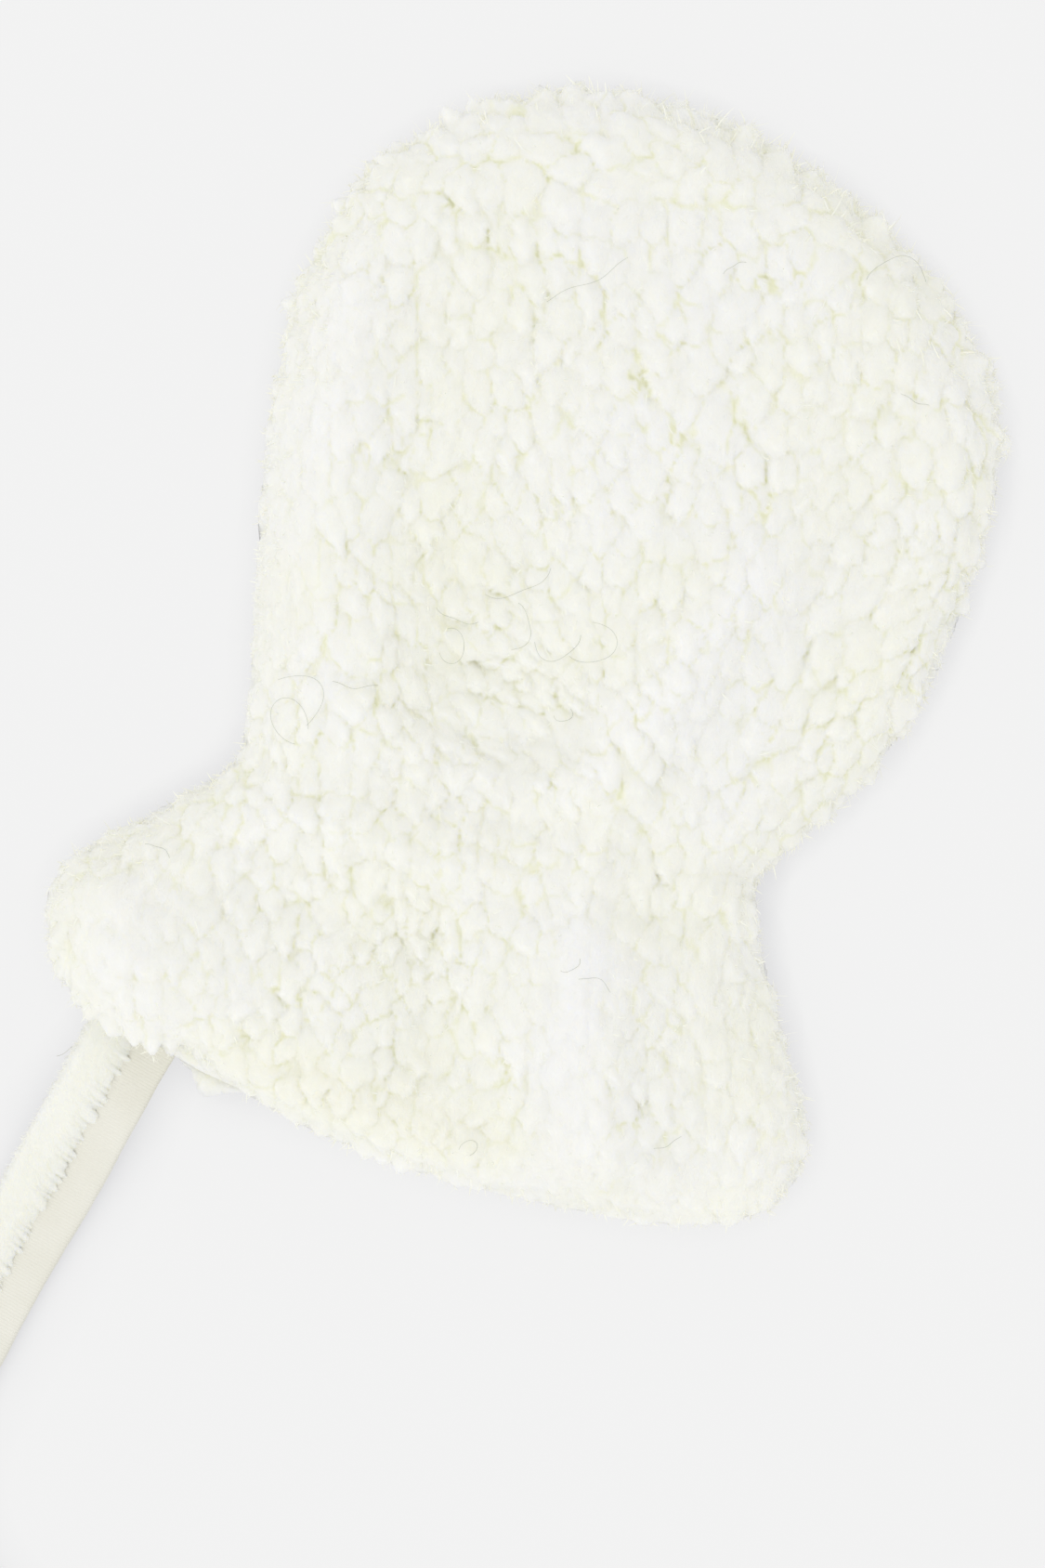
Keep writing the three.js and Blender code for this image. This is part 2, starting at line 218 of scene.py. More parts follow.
def fibre_group():
    """Fine fibres: stretched noise on object coordinates, as a height and as a mask."""
    group, entry, leave = new_group(
        "Fibres",
        [("Fibres per metre", "NodeSocketFloat", 2200.0), ("Stretch", "NodeSocketFloat", 0.4)],
        [("Height", "NodeSocketFloat"), ("Mask", "NodeSocketFloat")],
    )
    nodes, links = group.nodes, group.links
    place = nodes.new("ShaderNodeTexCoord")
    turned = nodes.new("ShaderNodeMapping")
    turned.inputs["Rotation"].default_value = (0.0, 0.0, 0.12)
    along = nodes.new("ShaderNodeCombineXYZ")
    along.inputs["X"].default_value = 1.0
    along.inputs["Z"].default_value = 1.0
    links.new(entry.outputs["Stretch"], along.inputs["Y"])
    stretched = nodes.new("ShaderNodeVectorMath")
    stretched.operation = "MULTIPLY"
    links.new(place.outputs["Object"], turned.inputs["Vector"])
    links.new(turned.outputs["Vector"], stretched.inputs[0])
    links.new(along.outputs["Vector"], stretched.inputs[1])
    fine = nodes.new("ShaderNodeTexNoise")
    fine.inputs["Detail"].default_value = 3.0
    fine.inputs["Roughness"].default_value = 0.65
    fine.inputs["Distortion"].default_value = 1.6
    links.new(stretched.outputs["Vector"], fine.inputs["Vector"])
    links.new(entry.outputs["Fibres per metre"], fine.inputs["Scale"])
    mask = nodes.new("ShaderNodeMapRange")
    mask.inputs["From Min"].default_value = 0.35
    mask.inputs["From Max"].default_value = 0.65
    links.new(fine.outputs["Fac"], mask.inputs["Value"])
    links.new(fine.outputs["Fac"], leave.inputs["Height"])
    links.new(mask.outputs["Result"], leave.inputs["Mask"])
    return group


def cloud_group():
    """Soft uneven patches of colour, as a mask from 0 to 1."""
    group, entry, leave = new_group(
        "Colour clouds",
        [("Clouds per metre", "NodeSocketFloat", 60.0)],
        [("Mask", "NodeSocketFloat")],
    )
    nodes, links = group.nodes, group.links
    place = nodes.new("ShaderNodeTexCoord")
    soft = nodes.new("ShaderNodeTexNoise")
    soft.inputs["Detail"].default_value = 2.0
    spread = nodes.new("ShaderNodeMapRange")
    spread.inputs["From Min"].default_value = 0.35
    spread.inputs["From Max"].default_value = 0.65
    links.new(place.outputs["Object"], soft.inputs["Vector"])
    links.new(entry.outputs["Clouds per metre"], soft.inputs["Scale"])
    links.new(soft.outputs["Fac"], spread.inputs["Value"])
    links.new(spread.outputs["Result"], leave.inputs["Mask"])
    return group


FIBRES = fibre_group()
CLOUDS = cloud_group()


def new_material(name):
    material = bpy.data.materials.new(name)
    material.use_nodes = True
    shader = material.node_tree.nodes["Principled BSDF"]
    return material, material.node_tree.nodes, material.node_tree.links, shader


def add_group(nodes, group, **values):
    node = nodes.new("ShaderNodeGroup")
    node.node_tree = group
    for label, value in values.items():
        node.inputs[label.replace("_", " ")].default_value = value
    return node


def mix_colours(nodes, links, mask, low, high):
    """Low where the mask is 0 and high where it is 1. Each is a colour or another mix's output."""
    mix = nodes.new("ShaderNodeMix")
    mix.data_type = "RGBA"
    links.new(mask, mix.inputs["Factor"])
    for socket, value in ((mix.inputs["A"], low), (mix.inputs["B"], high)):
        if isinstance(value, tuple):
            socket.default_value = (*value, 1.0)
        else:
            links.new(value, socket)
    return mix.outputs["Result"]


PILE_WHITE = (0.948, 0.95, 0.878)
PILE_CREAM = (0.942, 0.936, 0.835)
# Painted shade: darker yellowish tones for the crevices between the pile's clumps.
PILE_CREVICE_SHADE = (0.895, 0.9, 0.735)
PILE_DEEP_SHADE = (0.85, 0.855, 0.665)
PILE_LIT = (1.05, 1.05, 1.05)
PILE_SHADED = (0.953, 0.952, 0.943)
SHADE_LEAST, SHADE_MOST = -0.8, 1.2
# Painted shade: the strap's pile is the same teddy cloth, given darker colours because its flat-brushed
# pile looks dimmer.
STRAP_SHADED_WHITE = (0.906, 0.911, 0.872)
STRAP_SHADED_CREAM = (0.898, 0.902, 0.854)


def teddy_material(name, white, cream):
    material, nodes, links, shader = new_material(name)
    clouds = add_group(nodes, CLOUDS, Clouds_per_metre=55.0)
    fibres = add_group(nodes, FIBRES, Fibres_per_metre=1500.0, Stretch=0.4)
    # Painted shade: this attribute mixes the colour towards the darker yellowish crevice tones.
    crevice_shade = nodes.new("ShaderNodeAttribute")
    crevice_shade.attribute_name = "crevice_shade"
    body = mix_colours(nodes, links, clouds.outputs["Mask"], white, cream)
    gap = nodes.new("ShaderNodeMapRange")
    gap.inputs["From Min"].default_value = 0.15
    gap.inputs["From Max"].default_value = 0.9
    links.new(crevice_shade.outputs["Fac"], gap.inputs["Value"])
    deep = nodes.new("ShaderNodeMapRange")
    deep.inputs["From Min"].default_value = 0.75
    deep.inputs["From Max"].default_value = 1.2
    links.new(crevice_shade.outputs["Fac"], deep.inputs["Value"])
    tinted = mix_colours(nodes, links, gap.outputs["Result"], body, PILE_CREVICE_SHADE)
    colour = mix_colours(nodes, links, deep.outputs["Result"], tinted, PILE_DEEP_SHADE)
    shade = nodes.new("ShaderNodeAttribute")
    shade.attribute_name = "shade"
    dim = nodes.new("ShaderNodeMapRange")
    dim.inputs["From Min"].default_value = SHADE_LEAST
    dim.inputs["From Max"].default_value = SHADE_MOST
    links.new(shade.outputs["Fac"], dim.inputs["Value"])
    toned = nodes.new("ShaderNodeMix")
    toned.data_type = "RGBA"
    toned.blend_type = "MULTIPLY"
    toned.inputs["Factor"].default_value = 1.0
    tone = mix_colours(nodes, links, dim.outputs["Result"], PILE_LIT, PILE_SHADED)
    links.new(colour, toned.inputs["A"])
    links.new(tone, toned.inputs["B"])
    links.new(toned.outputs["Result"], shader.inputs["Base Color"])
    bump = nodes.new("ShaderNodeBump")
    bump.inputs["Strength"].default_value = 0.4
    bump.inputs["Distance"].default_value = 0.0005
    links.new(fibres.outputs["Height"], bump.inputs["Height"])
    links.new(bump.outputs["Normal"], shader.inputs["Normal"])
    shader.inputs["Roughness"].default_value = 0.95
    shader.inputs["Specular IOR Level"].default_value = 0.15
    shader.inputs["Sheen Weight"].default_value = 0.25
    shader.inputs["Sheen Roughness"].default_value = 0.6
    shader.inputs["Subsurface Weight"].default_value = 1.0
    shader.inputs["Subsurface Radius"].default_value = (1.0, 0.97, 0.85)
    shader.inputs["Subsurface Scale"].default_value = 0.0022
    return material


KNIT_FACE = (0.845, 0.832, 0.755)
KNIT_SHADE = (0.795, 0.78, 0.69)


def backing_material():
    """The knit back of the cloth: fine ribs across the strap, on its own UV map in millimetres."""
    material, nodes, links, shader = new_material("Knit backing")
    clouds = add_group(nodes, CLOUDS, Clouds_per_metre=110.0)
    place = nodes.new("ShaderNodeUVMap")
    place.uv_map = "along"
    ribs = nodes.new("ShaderNodeTexWave")
    ribs.wave_type = "BANDS"
    ribs.bands_direction = "Y"
    ribs.inputs["Scale"].default_value = 0.75
    ribs.inputs["Distortion"].default_value = 1.6
    ribs.inputs["Detail"].default_value = 2.0
    ribs.inputs["Detail Scale"].default_value = 1.4
    links.new(place.outputs["UV"], ribs.inputs["Vector"])
    worn = mix_colours(nodes, links, clouds.outputs["Mask"], KNIT_FACE, KNIT_SHADE)
    faint = nodes.new("ShaderNodeMath")
    faint.operation = "MULTIPLY"
    faint.inputs[1].default_value = 0.35
    links.new(ribs.outputs["Fac"], faint.inputs[0])
    colour = mix_colours(nodes, links, faint.outputs["Value"], worn, KNIT_SHADE)
    links.new(colour, shader.inputs["Base Color"])
    bump = nodes.new("ShaderNodeBump")
    bump.inputs["Strength"].default_value = 0.3
    bump.inputs["Distance"].default_value = 0.0002
    links.new(ribs.outputs["Fac"], bump.inputs["Height"])
    links.new(bump.outputs["Normal"], shader.inputs["Normal"])
    shader.inputs["Roughness"].default_value = 0.9
    shader.inputs["Specular IOR Level"].default_value = 0.2
    shader.inputs["Sheen Weight"].default_value = 0.2
    return material


def hair_material():
    material, nodes, links, shader = new_material("Loose hair")
    clouds = add_group(nodes, CLOUDS, Clouds_per_metre=300.0)
    colour = mix_colours(nodes, links, clouds.outputs["Mask"], (0.62, 0.63, 0.52), (0.5, 0.52, 0.42))
    links.new(colour, shader.inputs["Base Color"])
    shader.inputs["Roughness"].default_value = 0.6
    return material


def fuzz_material():
    material, nodes, links, shader = new_material("Pile fuzz")
    clouds = add_group(nodes, CLOUDS, Clouds_per_metre=200.0)
    colour = mix_colours(nodes, links, clouds.outputs["Mask"], PILE_WHITE, PILE_CREAM)
    links.new(colour, shader.inputs["Base Color"])
    shader.inputs["Roughness"].default_value = 0.9
    shader.inputs["Specular IOR Level"].default_value = 0.2
    return material


TEDDY = teddy_material("Teddy pile", PILE_WHITE, PILE_CREAM)
# A darker copy of the teddy finish, as painted shade on the strap.
STRAP_SHADED_PILE = teddy_material("Strap pile, shaded", STRAP_SHADED_WHITE, STRAP_SHADED_CREAM)
BACKING = backing_material()
HAIR = hair_material()
FUZZ = fuzz_material()


# Fibres

FIBRE_WIDTH_MM = 0.055
FIBRE_STEPS = (0.0, 0.4, 0.75, 1.0)
FIBRE_TAPER = np.array([[1.0, 1.0, 0.8, 0.25]])
WISP_SHARE = 0.3
WISP_WIDER = 3.0


def ribbons(name, lines_mm, asides, widths_mm):
    """Flat fibres in one mesh, from their middle lines and half widths (count, steps)."""
    count, steps = lines_mm.shape[:2]
    spread = asides[:, None] * widths_mm[:, :, None]
    points = np.stack([lines_mm - spread, lines_mm + spread], axis=2).reshape(-1, 3)
    start = (np.arange(count) * steps * 2)[:, None]
    low = start + (np.arange(steps - 1) * 2)[None, :]
    faces = np.stack([low, low + 1, low + 3, low + 2], -1).reshape(-1, 4)
    return mesh_object(name, points, faces.tolist())


# The strap

def smooth_line(points_mm):
    """A smooth line through the points, with how far along each of its points lies. Its steps
    are finest over the length that the photo shows."""
    points = np.array(points_mm, float)
    padded = np.vstack([2 * points[0] - points[1], points, 2 * points[-1] - points[-2]])
    line = []
    for a, b, c, d in zip(padded, padded[1:], padded[2:], padded[3:]):
        for t in np.linspace(0, 1, 24, endpoint=False):
            line.append(
                0.5
                * (
                    2 * b
                    + (c - a) * t
                    + (2 * a - 5 * b + 4 * c - d) * t**2
                    + (3 * b - a - 3 * c + d) * t**3
                )
            )
    line.append(points[-1])
    line = np.array(line)
    reached = np.concatenate([[0], np.cumsum(np.linalg.norm(np.diff(line, axis=0), axis=1))])
    fine = np.arange(0, STRAP_FINE_LENGTH_MM, STRAP_FINE_STEP_MM)
    count = int((reached[-1] - STRAP_FINE_LENGTH_MM) / STRAP_STEP_MM)
    at = np.concatenate([fine, np.linspace(STRAP_FINE_LENGTH_MM, reached[-1], count + 1)])
    return np.stack([np.interp(at, reached, line[:, k]) for k in range(3)], axis=1), at


def strap_line():
    """The route, run on a little way into each cuff."""
    route = [np.array(p) for p in STRAP_ROUTE_MM]
    starts = route[0] + unit(route[0] - route[1]) * STRAP_INSIDE_MM
    ends = route[-1] + unit(route[-1] - route[-2]) * STRAP_INSIDE_MM
    return smooth_line([starts, *route, ends])


def strap_section():
    """Points round the folded strap: (aside, height above its underside, 1 where pile shows)."""
    half = STRAP_WIDTH_MM / 2
    layer = STRAP_LAYER_MM
    edge = STRAP_FLAP_EDGE_MM
    points = [(half - 0.1, 0.25, 0.6)]
    points += [(x, 0.02, 0.6) for x in np.linspace(half - 0.7, -half + 1.4, 10)]
    for turn in np.linspace(-80, 80, 9):
        out = math.cos(math.radians(turn))
        rise = math.sin(math.radians(turn))
        points.append((-half + 1.5 - 1.5 * out, layer + layer * rise, 1.0))
    points += [(x, 2 * layer + 0.02, 1.0) for x in np.linspace(-half + 1.8, edge - 2.6, 5)]
    for back in np.linspace(2.3, 0.3, 8):
        points.append((edge - back, 2 * layer + 0.02 - 0.9 * (1 - back / 2.3) ** 2, 1.0))
    points += [(edge, 2 * layer - 1.0, 0.9), (edge + 0.2, layer + 0.4, 0.8)]
    points += [(edge + 0.3, layer + 0.2, 0.5), (edge + 0.38, layer + 0.04, 0.3)]
    points.append((edge + 0.46, layer, 0.0))
    points += [(x, layer, 0.0) for x in np.linspace(edge + 1.7, half - 0.5, 8)]
    points += [(half - 0.12, layer - 0.22, 0.0), (half, layer * 0.5, 0.2)]
    return np.array(points)


FRINGE_PITCH_MM = 1.15
FRINGE_SLANT = 0.62
FRINGE_REACH_MM = (0.25, 1.1)
FRINGE_GROOVE_MM = 0.24
FRINGE_FOOT_MM = 2.9
FOLD_TUFT_MM = 0.9


def fringe(at, section):
    """The tufts along the flap's cut edge. For each point of each ring: how far it moves towards
    the knit side and up, in mm, and how deep it lies between two tufts."""
    rng = np.random.default_rng(41)
    beyond = section[:, 0] - STRAP_FLAP_EDGE_MM
    on_flap = (section[:, 2] > 0.25) & (section[:, 1] > STRAP_LAYER_MM + 0.1)
    foot = on_flap * smooth_step(-FRINGE_FOOT_MM, -0.5, beyond)
    at_edge = (section[:, 1] > STRAP_LAYER_MM - 0.01) & (beyond < 0.5)
    edge = at_edge * smooth_step(-0.9, 0.0, beyond)
    sway = 0.5 * np.sin(0.9 * at + 1.0) + 0.3 * np.sin(2.3 * at)
    phase = (at + sway)[:, None] - FRINGE_SLANT * beyond[None, :]
    phase = phase / FRINGE_PITCH_MM + 50
    own = rng.uniform(0, 1, int(phase.max()) + 2)[phase.astype(int)]
    ridge = np.sqrt(np.abs(np.sin(math.pi * phase)))
    low, high = FRINGE_REACH_MM
    outward = edge * ridge * (low + (high - low) * own)
    up = foot * (FRINGE_GROOVE_MM * (ridge - 0.7) + 0.12 * (own - 0.5) - 0.3 * outward)
    return outward, up, foot * (1 - ridge)


def add_strap():
    line, at = strap_line()
    section = strap_section()
    outward, up, between = fringe(at, section)
    tangent = unit(np.gradient(line, axis=0))
    aside = unit(np.cross(tangent, UP))
    lift = unit(np.cross(aside, tangent))
    ring = len(section)
    base = line - lift * STRAP_LAYER_MM
    width = 1 + 0.02 * np.sin(at / 9.0) + 0.015 * np.sin(at / 3.7 + 1.0)
    points = (
        base[:, None]
        - aside[:, None] * (section[None, :, 0] * width[:, None] + outward)[:, :, None]
        + lift[:, None] * (section[None, :, 1] + up)[:, :, None]
    )
    flat = points.reshape(-1, 3)
    middle = base + lift * STRAP_LAYER_MM * 0.9
    away = unit(flat - np.repeat(middle, ring, 0))
    pile = np.tile(section[:, 2], len(line))
    rough = noise_at(flat, 1.3, 7.0)[:, 0] * 0.16 + noise_at(flat, 0.6, 3.0)[:, 1] * 0.08
    soft = noise_at(flat, 5.0, 1.0)[:, 0] * 0.15
    fold = smooth_step(1.0, 0.2, section[:, 0] + STRAP_WIDTH_MM / 2)
    tufty = FOLD_TUFT_MM * np.tile(fold, len(line)) * np.maximum(noise_at(flat, 0.9, 9.0)[:, 2], 0)
    flat = flat + away * (rough * pile + soft + tufty)[:, None]
    flat[:, 2] = np.maximum(flat[:, 2], 0.05)
    faces = []
    for row in range(len(line) - 1):
        for k in range(ring):
            a = row * ring + k
            b = row * ring + (k + 1) % ring
            faces.append((a, b, b + ring, a + ring))
    faces.append(tuple(range(ring - 1, -1, -1)))
    faces.append(tuple((len(line) - 1) * ring + k for k in range(ring)))
    strap = mesh_object("strap_cloth", flat, faces)
    # Painted shade in the pits of the rough pile and in the grooves between the fringe's tufts.
    gaps = 0.03 + rough * pile * -0.8 + 0.3 * between.ravel()
    keep_values(strap, "crevice_shade", np.clip(gaps, 0, 1))
    keep_values(strap, "shade", np.full(len(flat), STRAP_SHADE))
    layer = strap.data.uv_layers.new(name="along")
    loops = np.zeros(len(strap.data.loops), np.int32)
    strap.data.loops.foreach_get("vertex_index", loops)
    across = np.cumsum(
        np.concatenate([[0], np.linalg.norm(np.diff(section[:, :2], axis=0), axis=1)])
    )
    uv = np.stack([across[loops % ring], at[loops // ring]], axis=1)
    layer.data.foreach_set("uv", uv.astype(np.float32).ravel())
    finish_piece(strap, STRAP_SHADED_PILE)
    strap.data.materials.append(BACKING)
    backing = np.flatnonzero(section[:, 2] == 0.0)
    first, last = backing[0] - 1, backing[-1]
    for polygon in strap.data.polygons:
        k = polygon.index % ring
        if len(polygon.vertices) == 4 and first <= k <= last:
            polygon.material_index = 1
    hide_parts("strap")
    return strap, line, at


STRAP, STRAP_LINE, STRAP_AT = add_strap()


def strap_frame(at_mm):
    """Middles of the strap's underside, its run, its left side and its upper side."""
    line = np.stack([np.interp(at_mm, STRAP_AT, STRAP_LINE[:, k]) for k in range(3)], axis=1)
    tangents = unit(np.gradient(STRAP_LINE, axis=0))
    tangent = np.stack([np.interp(at_mm, STRAP_AT, tangents[:, k]) for k in range(3)], axis=1)
    left = unit(np.cross(tangent, UP))
    lift = unit(np.cross(left, tangent))
    return line - lift * STRAP_LAYER_MM, tangent, left, lift


STRAP_FIBRES = 6500


def add_strap_fibres():
    """Short brushed fibres on the flap and out over the fold."""
    rng = np.random.default_rng(43)
    at = rng.uniform(4.0, STRAP_AT[-1] - 4.0, STRAP_FIBRES)
    base, tangent, left, lift = strap_frame(at)
    half = STRAP_WIDTH_MM / 2
    over_fold = rng.uniform(0, 1, STRAP_FIBRES) < 0.45
    aside = np.where(over_fold, half - 0.15, rng.uniform(-0.2, half - 0.6, STRAP_FIBRES))
    high = np.where(over_fold, STRAP_LAYER_MM * rng.uniform(0.7, 1.7, STRAP_FIBRES), 2 * STRAP_LAYER_MM)
    roots = base + left * aside[:, None] + lift * high[:, None]
    outward = np.where(over_fold, 1.0, -0.5)[:, None]
    wander = rng.normal(0, 0.3, (STRAP_FIBRES, 3))
    headings = unit(outward * left + 0.55 * tangent + 0.35 * lift + wander)
    lengths = rng.uniform(0.5, 1.1, STRAP_FIBRES)
    reached = np.array(FIBRE_STEPS)[None, :, None]
    lines = roots[:, None] + headings[:, None] * reached * lengths[:, None, None]
    lines -= lift[:, None] * reached**2 * 0.3
    lines[:, :, 2] = np.maximum(lines[:, :, 2], 0.05)
    asides = unit(np.cross(headings, rng.normal(0, 1, (STRAP_FIBRES, 3))))
    widths = FIBRE_WIDTH_MM * rng.uniform(0.7, 1.4, STRAP_FIBRES)
    fibres = ribbons("strap_fibres", lines, asides, 0.5 * widths[:, None] * FIBRE_TAPER)
    finish_piece(fibres, FUZZ)
    return fibres


# The cloth panels

def own_frame(points_mm, side):
    """Places in the mitten's own frame, from places in the pair's. Side is -1 on the second."""
    x = points_mm[:, 0] * side - WRIST_MM[0]
    y = points_mm[:, 1] - WRIST_MM[1]
    u = x * math.cos(LEAN) - y * math.sin(LEAN)
    v = x * math.sin(LEAN) + y * math.cos(LEAN)
    return u, v


def nap_at(points_mm, normals, side, rng):
    """Which way the pile lies: down the hand, slanting in the hollow, and outward at the rims."""
    u, v = own_frame(points_mm, side)
    sway = noise_at(points_mm, 11.0, 31.0)
    heading = np.stack([0.55 * sway[:, 0], -np.ones(len(u)), np.zeros(len(u))], axis=1)
    hollow = np.exp(-((u + 3) ** 2 + (v - 17) ** 2) / 15.0**2)
    heading += hollow[:, None] * np.array([1.1 * side, 0.25, 0.0])
    right = smooth_step(18, 40, u) * smooth_step(-5, 10, v) * (1 - smooth_step(40, 60, v))
    heading += right[:, None] * np.array([-0.55 * side, 0.0, 0.0])
    tip = smooth_step(74, 90, v)
    heading += tip[:, None] * np.array([0.0, 1.5, 0.0])
    steep = smooth_step(0.25, 0.75, 1 - np.abs(normals[:, 2]))
    heading = unit(heading) * (1 - steep[:, None]) + 1.3 * steep[:, None] * unit(
        normals * np.array([1, 1, 0])
    )
    heading += rng.normal(0, 0.16, heading.shape)
    heading -= normals * (heading * normals).sum(1)[:, None] * 0.9
    return unit(heading)


def clump_size(points_mm, normals, side):
    """How large the clumps are: small in the hollows, large at the tip and the rims."""
    u, v = own_frame(points_mm, side)
    size = 1 + 0.42 * noise_at(points_mm, 7.0, 61.0)[:, 1]
    size -= 0.26 * np.exp(-((u + 3) ** 2 + (v - 19) ** 2) / 17.0**2)
    size -= 0.2 * np.exp(-((u + 12) ** 2 + (v + 20) ** 2) / 16.0**2)
    size += 0.18 * smooth_step(66, 84, v)
    size += 0.12 * smooth_step(0.3, 0.8, 1 - np.abs(normals[:, 2]))
    return size


def scattered(points_mm, gaps_mm, rng, most):
    """Numbers of points in random order that stay their own gap apart."""
    order = rng.permutation(len(points_mm))[:most]
    cell = float(gaps_mm.max())
    homes = np.floor(points_mm / cell).astype(int).tolist()
    places = points_mm.tolist()
    gaps = (gaps_mm**2).tolist()
    around = [(i, j, k) for i in (-1, 0, 1) for j in (-1, 0, 1) for k in (-1, 0, 1)]
    cells = {}
    kept = []
    for number in order.tolist():
        x, y, z = places[number]
        home = homes[number]
        near = (
            places[other]
            for i, j, k in around
            for other in cells.get((home[0] + i, home[1] + j, home[2] + k), ())
        )
        if all((x - a) ** 2 + (y - b) ** 2 + (z - c) ** 2 > gaps[number] for a, b, c in near):
            kept.append(number)
            cells.setdefault(tuple(home), []).append(number)
    return np.array(kept)


CLUMP_NEIGHBOURS = 10
CLUMP_REACH = 2.3
CLUMP_POINTED = 0.26
CLUMP_TIP_LIFT = 0.2
CLUMP_SOFTNESS = 26.0
CLUMP_BORDER = 0.085


def clumps(points_mm, normals, side, rng, gap_mm, stretch, warp_mm):
    """Overlapping pile clumps, each a teardrop that lies along the nap with its tip raised.
    For each point: the height of the clumps, about 0 to 1, and how near it is to a border."""
    warped = points_mm + warp_mm * noise_at(points_mm, 2.4, 11.0)
    warped += 0.4 * warp_mm * noise_at(points_mm, 1.0, 5.0)
    squeeze = np.array([1.0, 1.0 / stretch, 1.0])
    gaps = gap_mm * clump_size(points_mm, normals, side)
    seeds = scattered(points_mm * squeeze, gaps, rng, 30000)
    nap = nap_at(points_mm[seeds], normals[seeds], side, rng)
    wide = 0.64 * gaps[seeds] * rng.uniform(0.8, 1.25, len(seeds))
    long = wide * stretch * rng.uniform(0.9, 1.25, len(seeds))
    own = rng.uniform(0.74, 1.12, len(seeds))
    tree = kdtree.KDTree(len(seeds))
    for number, place in enumerate(points_mm[seeds] * squeeze):
        tree.insert(Vector(place), number)
    tree.balance()
    near = np.array(
        [[hit[1] for hit in tree.find_n(Vector(p), CLUMP_NEIGHBOURS)] for p in warped * squeeze]
    )
    offset = warped[:, None] - points_mm[seeds][near]
    along = (offset * nap[near]).sum(2)
    aside_squared = np.maximum((offset**2).sum(2) - along**2, 0)
    reached = np.clip(along / long[near], -1.3, 1.3)
    narrowed = wide[near] * (1 - CLUMP_POINTED * reached)
    far_squared = aside_squared / narrowed**2 + reached**2
    dome = np.sqrt(np.clip(1 - far_squared / CLUMP_REACH, 0, 1))
    height = own[near] * dome * (1 + CLUMP_TIP_LIFT * reached)
    top = np.log(np.exp(CLUMP_SOFTNESS * height).sum(1)) / CLUMP_SOFTNESS
    ordered = np.sort(height, axis=1)
    border = np.exp(-(((ordered[:, -1] - ordered[:, -2]) / CLUMP_BORDER) ** 2))
    return top, border


PILE_RELIEF_MM = 1.25
PILE_FINE_MM = 0.4
PILE_GROOVE_MM = 0.16
PILE_MEAN = 0.86


def calm_at(points_mm, side):
    """Where the pile is fuller and smoother: the left border, the corner and the cuff's ridge."""
    u, v = own_frame(points_mm, side)
    border = np.exp(-(((u + 35) / 7.5) ** 2)) * smooth_step(4, 16, v) * (1 - smooth_step(56, 70, v))
    corner = np.exp(-((u + 44) ** 2 + (v + 25) ** 2) / 11.0**2)
    ridge = np.exp(-(((u - 16) / 5.0) ** 2)) * (1 - smooth_step(-4, 2, v))
    right = 0.7 * smooth_step(24, 34, u) * (1 - smooth_step(-2, 4, v))
    hem = 0.6 * (1 - smooth_step(-43, -35, v))
    return np.clip(border + corner + ridge + right + hem, 0, 1)


# The large folds that show in the pile, from one end to the other: u, v, u, v, half width and
# height, all in mm, then how much shade gathers there.
FOLDS = [
    (-26.0, 62.0, -19.0, 30.0, 7.0, -0.6, 0.25),
    (-8.0, 38.0, -1.0, 21.0, 10.5, -0.8, 1.0),
    (-8.0, 17.0, 5.0, 12.0, 6.0, -0.7, 0.45),
    (-20.0, 13.0, 2.0, 7.5, 2.2, -0.9, 0.6),
    (9.5, 7.0, 25.5, 38.0, 4.2, 1.6, -0.6),
    (5.0, 16.0, 15.0, 36.0, 4.0, -0.5, 0.35),
    (38.0, 8.0, 47.0, 40.0, 7.0, -0.3, 0.9),
    (-30.0, 0.0, 34.0, -1.0, 2.6, -0.4, 0.1),
    (2.0, -10.5, 28.0, -7.5, 2.0, -0.7, 0.35),
    (16.0, -11.0, 22.5, -38.0, 5.0, 1.9, -0.2),
    (13.5, -11.0, 18.5, -39.0, 4.2, 0.0, -1.4),
    (3.5, -13.0, 6.0, -38.0, 2.4, -0.5, 0.25),
    (-6.0, -18.0, -4.0, -30.0, 7.0, -0.7, 1.9),
    (-27.0, -13.0, -22.0, -17.0, 6.0, -0.5, 0.4),
    (-25.0, -27.0, -20.0, -30.0, 4.0, -0.4, 0.3),
    (-30.0, -37.0, 8.0, -40.5, 4.5, 0.0, 1.9),
    (30.0, -12.0, 38.0, -40.0, 8.0, -0.3, 0.6),
    (-36.0, 60.0, -34.0, 12.0, 5.5, 0.4, -0.3),
    (-46.0, -21.0, -42.0, -29.0, 7.0, 0.5, -0.3),
]


FOLD_SHARE = 0.6
SHADE_SHARE = 0.55


def fold_shape(points_mm, side):
    """The extra height of the large folds, in mm, and the shade that gathers in them."""
    u, v = own_frame(points_mm, side)
    height, shade = np.zeros(len(u)), np.zeros(len(u))
    for from_u, from_v, to_u, to_v, width, rise, dim in FOLDS:
        run_u, run_v = to_u - from_u, to_v - from_v
        along = ((u - from_u) * run_u + (v - from_v) * run_v) / (run_u**2 + run_v**2)
        along = np.clip(along, 0, 1)
        far_squared = (u - from_u - along * run_u) ** 2 + (v - from_v - along * run_v) ** 2
        near = np.exp(-far_squared / width**2)
        height += FOLD_SHARE * rise * near
        shade += SHADE_SHARE * dim * near
    return height, shade


